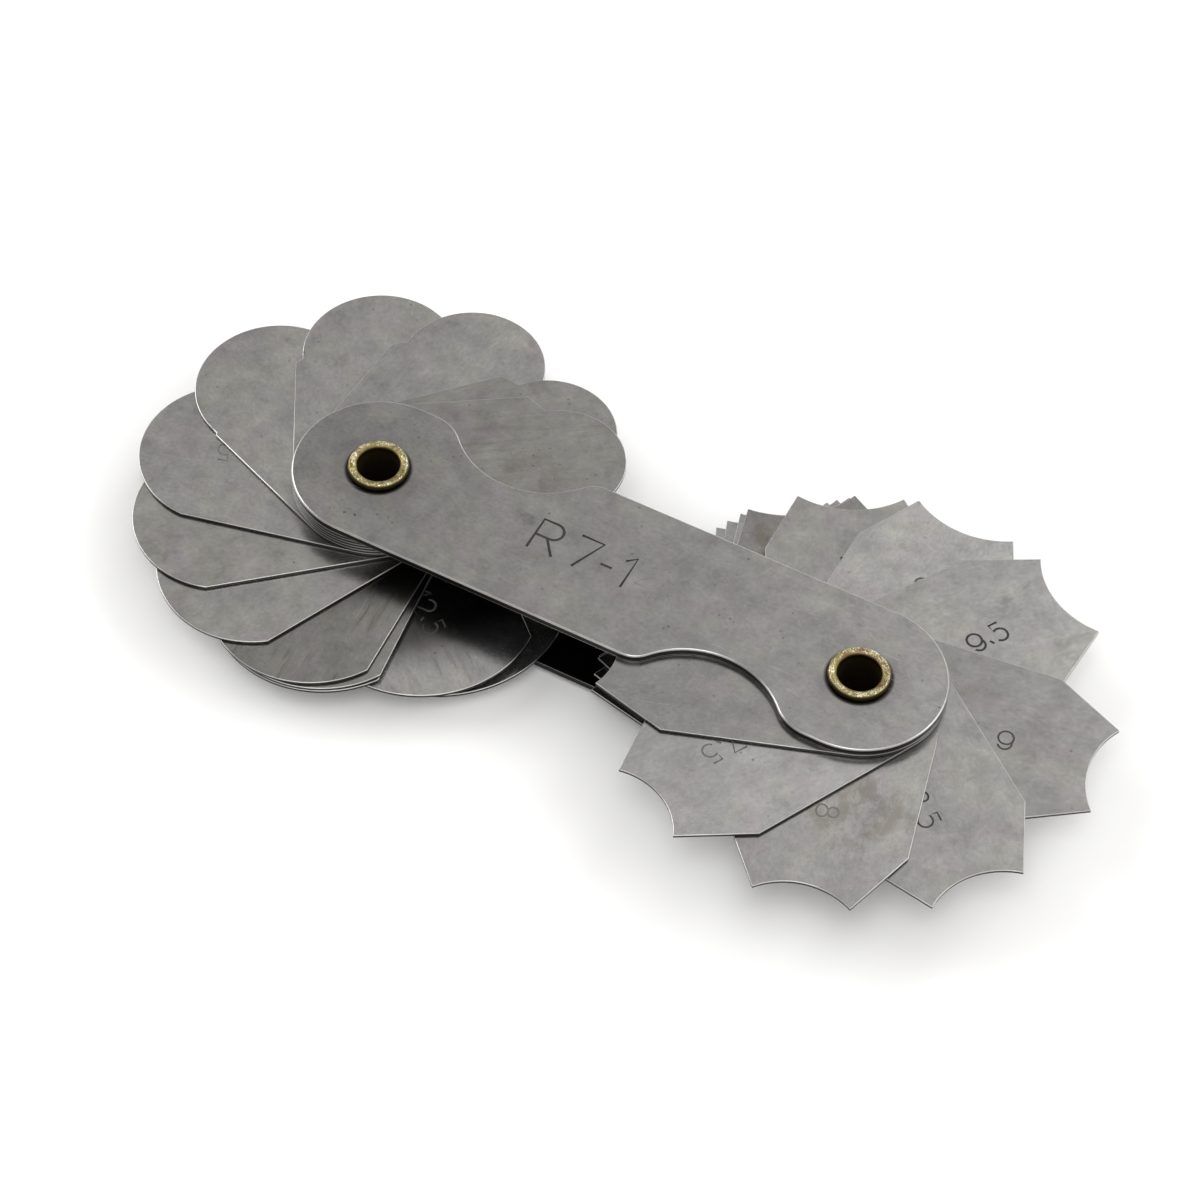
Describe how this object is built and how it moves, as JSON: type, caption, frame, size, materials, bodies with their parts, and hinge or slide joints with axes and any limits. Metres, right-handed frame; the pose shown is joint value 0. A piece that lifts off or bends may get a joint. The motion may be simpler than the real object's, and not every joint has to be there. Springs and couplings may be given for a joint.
{
  "type": "radius gauge set",
  "caption": "Fan-out fillet gauge: convex and concave radius blades turning on hollow rivets between two notched side plates.",
  "frame": {"origin": "midway between the two eyelets, on the outer face of the rear side plate", "axes": "+X along the holder from the convex blades' eyelet to the concave blades' eyelet, +Z from the rear plate to the front plate"},
  "size_m": [0.1096, 0.0535, 0.0103],
  "materials": {
    "plate_steel": "satin ground sheet steel, lightly stained",
    "blade_steel": "satin ground spring steel, lightly stained",
    "eyelet_brass": "dulled brass with a worn bright rim"
  },
  "bodies": {
    "holder": {"rear_plate": "plate_steel", "front_plate": "plate_steel", "convex_eyelet": "eyelet_brass", "concave_eyelet": "eyelet_brass"},
    "convex_r7": {"convex_blade_r7": "blade_steel"},
    "convex_r7_5": {"convex_blade_r7_5": "blade_steel"},
    "convex_r8": {"convex_blade_r8": "blade_steel"},
    "convex_r8_5": {"convex_blade_r8_5": "blade_steel"},
    "convex_r9": {"convex_blade_r9": "blade_steel"},
    "convex_r9_5": {"convex_blade_r9_5": "blade_steel"},
    "convex_r10": {"convex_blade_r10": "blade_steel"},
    "convex_r10_5": {"convex_blade_r10_5": "blade_steel"},
    "convex_r11": {"convex_blade_r11": "blade_steel"},
    "convex_r11_5": {"convex_blade_r11_5": "blade_steel"},
    "convex_r12": {"convex_blade_r12": "blade_steel"},
    "convex_r12_5": {"convex_blade_r12_5": "blade_steel"},
    "convex_r13": {"convex_blade_r13": "blade_steel"},
    "convex_r13_5": {"convex_blade_r13_5": "blade_steel"},
    "convex_r14": {"convex_blade_r14": "blade_steel"},
    "convex_r14_5": {"convex_blade_r14_5": "blade_steel"},
    "concave_r7": {"concave_blade_r7": "blade_steel"},
    "concave_r7_5": {"concave_blade_r7_5": "blade_steel"},
    "concave_r8": {"concave_blade_r8": "blade_steel"},
    "concave_r8_5": {"concave_blade_r8_5": "blade_steel"},
    "concave_r9": {"concave_blade_r9": "blade_steel"},
    "concave_r9_5": {"concave_blade_r9_5": "blade_steel"},
    "concave_r10": {"concave_blade_r10": "blade_steel"},
    "concave_r10_5": {"concave_blade_r10_5": "blade_steel"},
    "concave_r11": {"concave_blade_r11": "blade_steel"},
    "concave_r11_5": {"concave_blade_r11_5": "blade_steel"},
    "concave_r12": {"concave_blade_r12": "blade_steel"},
    "concave_r12_5": {"concave_blade_r12_5": "blade_steel"},
    "concave_r13": {"concave_blade_r13": "blade_steel"},
    "concave_r13_5": {"concave_blade_r13_5": "blade_steel"},
    "concave_r14": {"concave_blade_r14": "blade_steel"},
    "concave_r14_5": {"concave_blade_r14_5": "blade_steel"}
  },
  "joints": [
    {"name": "convex_r7_turn", "type": "hinge", "parent": "holder", "child": "convex_r7", "pos_m": [-0.02825, 0, 0], "axis": [0, 0, 1], "continuous": true},
    {"name": "convex_r7_5_turn", "type": "hinge", "parent": "holder", "child": "convex_r7_5", "pos_m": [-0.02825, 0, 0], "axis": [0, 0, 1], "continuous": true},
    {"name": "convex_r8_turn", "type": "hinge", "parent": "holder", "child": "convex_r8", "pos_m": [-0.02825, 0, 0], "axis": [0, 0, 1], "continuous": true},
    {"name": "convex_r8_5_turn", "type": "hinge", "parent": "holder", "child": "convex_r8_5", "pos_m": [-0.02825, 0, 0], "axis": [0, 0, 1], "continuous": true},
    {"name": "convex_r9_turn", "type": "hinge", "parent": "holder", "child": "convex_r9", "pos_m": [-0.02825, 0, 0], "axis": [0, 0, 1], "continuous": true},
    {"name": "convex_r9_5_turn", "type": "hinge", "parent": "holder", "child": "convex_r9_5", "pos_m": [-0.02825, 0, 0], "axis": [0, 0, 1], "continuous": true},
    {"name": "convex_r10_turn", "type": "hinge", "parent": "holder", "child": "convex_r10", "pos_m": [-0.02825, 0, 0], "axis": [0, 0, 1], "continuous": true},
    {"name": "convex_r10_5_turn", "type": "hinge", "parent": "holder", "child": "convex_r10_5", "pos_m": [-0.02825, 0, 0], "axis": [0, 0, 1], "continuous": true},
    {"name": "convex_r11_turn", "type": "hinge", "parent": "holder", "child": "convex_r11", "pos_m": [-0.02825, 0, 0], "axis": [0, 0, 1], "continuous": true},
    {"name": "convex_r11_5_turn", "type": "hinge", "parent": "holder", "child": "convex_r11_5", "pos_m": [-0.02825, 0, 0], "axis": [0, 0, 1], "continuous": true},
    {"name": "convex_r12_turn", "type": "hinge", "parent": "holder", "child": "convex_r12", "pos_m": [-0.02825, 0, 0], "axis": [0, 0, 1], "continuous": true},
    {"name": "convex_r12_5_turn", "type": "hinge", "parent": "holder", "child": "convex_r12_5", "pos_m": [-0.02825, 0, 0], "axis": [0, 0, 1], "continuous": true},
    {"name": "convex_r13_turn", "type": "hinge", "parent": "holder", "child": "convex_r13", "pos_m": [-0.02825, 0, 0], "axis": [0, 0, 1], "continuous": true},
    {"name": "convex_r13_5_turn", "type": "hinge", "parent": "holder", "child": "convex_r13_5", "pos_m": [-0.02825, 0, 0], "axis": [0, 0, 1], "continuous": true},
    {"name": "convex_r14_turn", "type": "hinge", "parent": "holder", "child": "convex_r14", "pos_m": [-0.02825, 0, 0], "axis": [0, 0, 1], "continuous": true},
    {"name": "convex_r14_5_turn", "type": "hinge", "parent": "holder", "child": "convex_r14_5", "pos_m": [-0.02825, 0, 0], "axis": [0, 0, 1], "continuous": true},
    {"name": "concave_r7_turn", "type": "hinge", "parent": "holder", "child": "concave_r7", "pos_m": [0.02825, 0, 0], "axis": [0, 0, 1], "continuous": true},
    {"name": "concave_r7_5_turn", "type": "hinge", "parent": "holder", "child": "concave_r7_5", "pos_m": [0.02825, 0, 0], "axis": [0, 0, 1], "continuous": true},
    {"name": "concave_r8_turn", "type": "hinge", "parent": "holder", "child": "concave_r8", "pos_m": [0.02825, 0, 0], "axis": [0, 0, 1], "continuous": true},
    {"name": "concave_r8_5_turn", "type": "hinge", "parent": "holder", "child": "concave_r8_5", "pos_m": [0.02825, 0, 0], "axis": [0, 0, 1], "continuous": true},
    {"name": "concave_r9_turn", "type": "hinge", "parent": "holder", "child": "concave_r9", "pos_m": [0.02825, 0, 0], "axis": [0, 0, 1], "continuous": true},
    {"name": "concave_r9_5_turn", "type": "hinge", "parent": "holder", "child": "concave_r9_5", "pos_m": [0.02825, 0, 0], "axis": [0, 0, 1], "continuous": true},
    {"name": "concave_r10_turn", "type": "hinge", "parent": "holder", "child": "concave_r10", "pos_m": [0.02825, 0, 0], "axis": [0, 0, 1], "continuous": true},
    {"name": "concave_r10_5_turn", "type": "hinge", "parent": "holder", "child": "concave_r10_5", "pos_m": [0.02825, 0, 0], "axis": [0, 0, 1], "continuous": true},
    {"name": "concave_r11_turn", "type": "hinge", "parent": "holder", "child": "concave_r11", "pos_m": [0.02825, 0, 0], "axis": [0, 0, 1], "continuous": true},
    {"name": "concave_r11_5_turn", "type": "hinge", "parent": "holder", "child": "concave_r11_5", "pos_m": [0.02825, 0, 0], "axis": [0, 0, 1], "continuous": true},
    {"name": "concave_r12_turn", "type": "hinge", "parent": "holder", "child": "concave_r12", "pos_m": [0.02825, 0, 0], "axis": [0, 0, 1], "continuous": true},
    {"name": "concave_r12_5_turn", "type": "hinge", "parent": "holder", "child": "concave_r12_5", "pos_m": [0.02825, 0, 0], "axis": [0, 0, 1], "continuous": true},
    {"name": "concave_r13_turn", "type": "hinge", "parent": "holder", "child": "concave_r13", "pos_m": [0.02825, 0, 0], "axis": [0, 0, 1], "continuous": true},
    {"name": "concave_r13_5_turn", "type": "hinge", "parent": "holder", "child": "concave_r13_5", "pos_m": [0.02825, 0, 0], "axis": [0, 0, 1], "continuous": true},
    {"name": "concave_r14_turn", "type": "hinge", "parent": "holder", "child": "concave_r14", "pos_m": [0.02825, 0, 0], "axis": [0, 0, 1], "continuous": true},
    {"name": "concave_r14_5_turn", "type": "hinge", "parent": "holder", "child": "concave_r14_5", "pos_m": [0.02825, 0, 0], "axis": [0, 0, 1], "continuous": true}
  ]
}
